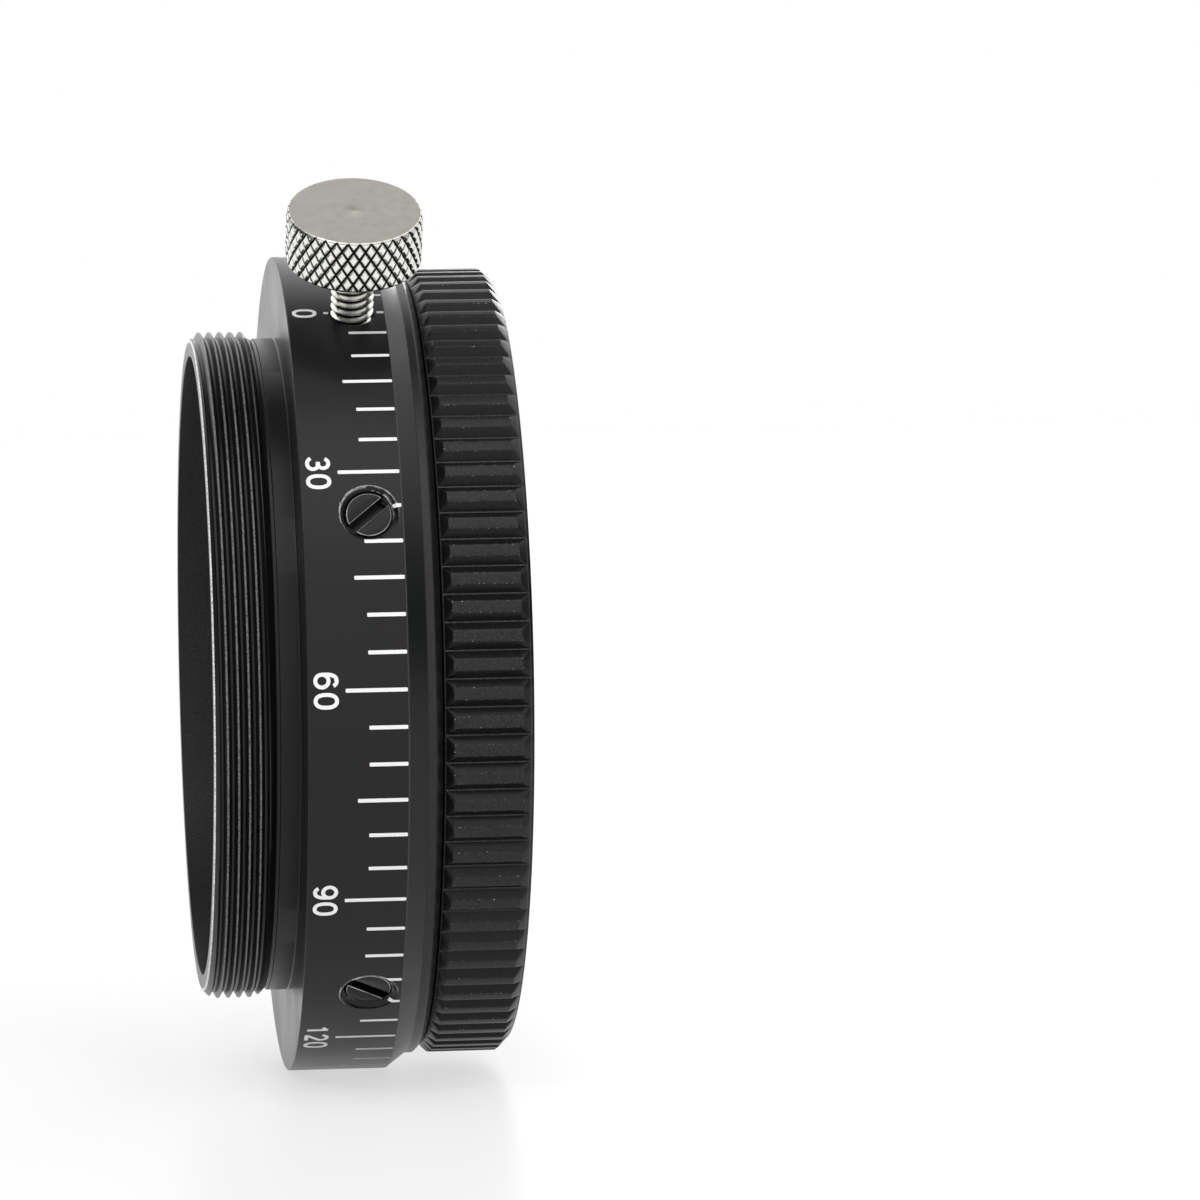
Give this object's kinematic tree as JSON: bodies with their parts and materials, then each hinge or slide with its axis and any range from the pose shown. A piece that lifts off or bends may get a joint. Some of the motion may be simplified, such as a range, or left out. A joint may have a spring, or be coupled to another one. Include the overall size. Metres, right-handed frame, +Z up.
{
  "type": "camera angle rotator",
  "caption": "Threaded ring rotator for a telescope camera: a graduated ring turns on a grooved grip ring and is clamped by a knurled thumbscrew.",
  "frame": {"origin": "on the optical axis, in the plane of the scope-side seat face, at the mouth of the female thread that holds the part", "axes": "+X along the optical axis, out of the scope side; the camera-side thread points along -X; +Z up; the thumbscrew leans 30 degrees from +Z towards -Y"},
  "size_m": [0.0216, 0.0586, 0.0641],
  "materials": {
    "black_anodised": "turned aluminium, bead blasted and black anodised, satin",
    "stainless": "turned and diamond-knurled stainless steel",
    "black_steel": "black oxide steel",
    "scale_paint": "white filled engraving, matt"
  },
  "bodies": {
    "scope_side": {"grip_ring": "black_anodised"},
    "camera_side": {"graduated_ring": "black_anodised", "set_screw_1": "black_steel", "set_screw_2": "black_steel", "set_screw_3": "black_steel", "set_screw_4": "black_steel", "set_screw_5": "black_steel"},
    "clamp": {"thumbscrew": "stainless"}
  },
  "joints": [
    {"name": "rotate", "type": "hinge", "parent": "scope_side", "child": "camera_side", "pos_m": [0, 0, 0], "axis": [1, 0, 0], "continuous": true},
    {"name": "clamp_turn", "type": "hinge", "parent": "camera_side", "child": "clamp", "pos_m": [-0.01105, 0, 0], "axis": [0, -0.5, 0.866], "range_deg": [0, 540]}
  ]
}
